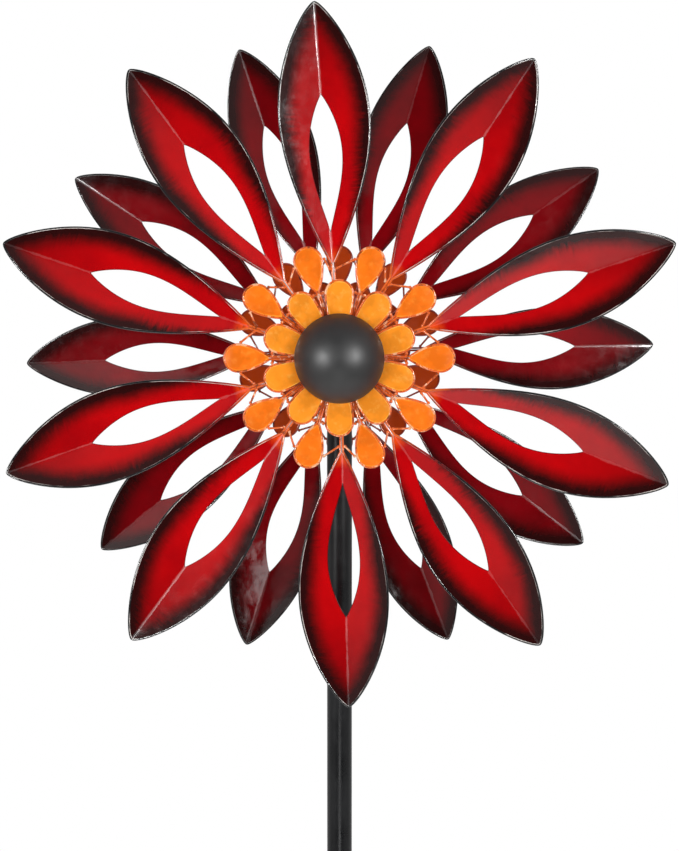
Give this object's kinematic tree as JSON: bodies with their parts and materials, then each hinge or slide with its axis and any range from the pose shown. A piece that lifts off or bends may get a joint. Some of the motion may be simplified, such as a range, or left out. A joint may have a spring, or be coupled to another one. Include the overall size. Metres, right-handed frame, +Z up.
{
  "type": "kinetic wind sculpture",
  "caption": "Garden wind sculpture with two flower-shaped metal wheels of windowed petals that turn on one axle, either side of a sectional pole with a pronged stake.",
  "frame": {"origin": "on the pole's axis at ground level, the underside of the step bars", "axes": "+Z up the pole, +X to the right seen from in front, +Y backwards along the wheels' axle, so the front wheel faces -Y"},
  "size_m": [0.6097, 0.1908, 1.9043],
  "materials": {
    "front_petal_enamel": "gloss enamel, red with black edges",
    "rear_petal_enamel": "gloss enamel, maroon with black edges",
    "outer_drop_enamel": "gloss enamel, orange",
    "inner_drop_enamel": "gloss enamel, amber",
    "petal_wire_paint": "gloss black",
    "centre_wire_paint": "gloss orange",
    "dome_paint": "satin charcoal",
    "black_powder_coat": "satin black powder coat",
    "zinc_plate": "bright zinc plate",
    "bearing_steel": "ground steel",
    "nylon": "natural nylon"
  },
  "bodies": {
    "stand": {"thrust_washer": "nylon", "pole_upper": "black_powder_coat", "pole_middle": "black_powder_coat", "pole_lower": "black_powder_coat", "pole_screws": "zinc_plate", "stake_socket": "black_powder_coat", "step_cross": "black_powder_coat", "prongs": "black_powder_coat"},
    "head": {"housing": "black_powder_coat", "spigot": "zinc_plate", "axle": "zinc_plate", "jam_nuts": "zinc_plate", "axle_sleeves": "zinc_plate", "race_spacers": "zinc_plate", "hub_washers": "zinc_plate", "front_lock_nut": "zinc_plate", "rear_cap_nut": "zinc_plate", "dome": "dome_paint", "dome_boss": "zinc_plate", "front_inner_races": "bearing_steel", "rear_inner_races": "bearing_steel"},
    "front_wheel": {"front_petal_01": "front_petal_enamel", "front_petal_02": "front_petal_enamel", "front_petal_03": "front_petal_enamel", "front_petal_04": "front_petal_enamel", "front_petal_05": "front_petal_enamel", "front_petal_06": "front_petal_enamel", "front_petal_07": "front_petal_enamel", "front_petal_08": "front_petal_enamel", "front_petal_09": "front_petal_enamel", "front_petal_10": "front_petal_enamel", "front_petal_wires": "petal_wire_paint", "front_outer_drops": "outer_drop_enamel", "front_inner_drops": "inner_drop_enamel", "front_drop_wires": "centre_wire_paint", "front_link_wires": "centre_wire_paint", "front_hub": "black_powder_coat", "front_spoke_ring": "black_powder_coat", "front_outer_races": "bearing_steel"},
    "rear_wheel": {"rear_petal_01": "rear_petal_enamel", "rear_petal_02": "rear_petal_enamel", "rear_petal_03": "rear_petal_enamel", "rear_petal_04": "rear_petal_enamel", "rear_petal_05": "rear_petal_enamel", "rear_petal_06": "rear_petal_enamel", "rear_petal_07": "rear_petal_enamel", "rear_petal_08": "rear_petal_enamel", "rear_petal_09": "rear_petal_enamel", "rear_petal_10": "rear_petal_enamel", "rear_petal_wires": "petal_wire_paint", "rear_outer_drops": "outer_drop_enamel", "rear_inner_drops": "inner_drop_enamel", "rear_drop_wires": "centre_wire_paint", "rear_link_wires": "centre_wire_paint", "rear_hub": "black_powder_coat", "rear_spoke_ring": "black_powder_coat", "rear_outer_races": "bearing_steel"},
    "front_balls": {"front_bearing_balls": "bearing_steel"},
    "rear_balls": {"rear_bearing_balls": "bearing_steel"}
  },
  "joints": [
    {"name": "head_yaw", "type": "hinge", "parent": "stand", "child": "head", "pos_m": [0, 0, 1.394], "axis": [0, 0, 1], "continuous": true},
    {"name": "front_spin", "type": "hinge", "parent": "head", "child": "front_wheel", "pos_m": [0, -0.059, 1.42], "axis": [0, -1, 0], "continuous": true},
    {"name": "rear_spin", "type": "hinge", "parent": "head", "child": "rear_wheel", "pos_m": [0, 0.059, 1.42], "axis": [0, 1, 0], "continuous": true},
    {"name": "front_ball_roll", "type": "hinge", "parent": "head", "child": "front_balls", "pos_m": [0, -0.059, 1.42], "axis": [0, -1, 0], "continuous": true},
    {"name": "rear_ball_roll", "type": "hinge", "parent": "head", "child": "rear_balls", "pos_m": [0, 0.059, 1.42], "axis": [0, 1, 0], "continuous": true}
  ],
  "couplings": [
    {"joint": "front_ball_roll", "follows": "front_spin", "ratio": 0.6296},
    {"joint": "rear_ball_roll", "follows": "rear_spin", "ratio": 0.6296}
  ]
}
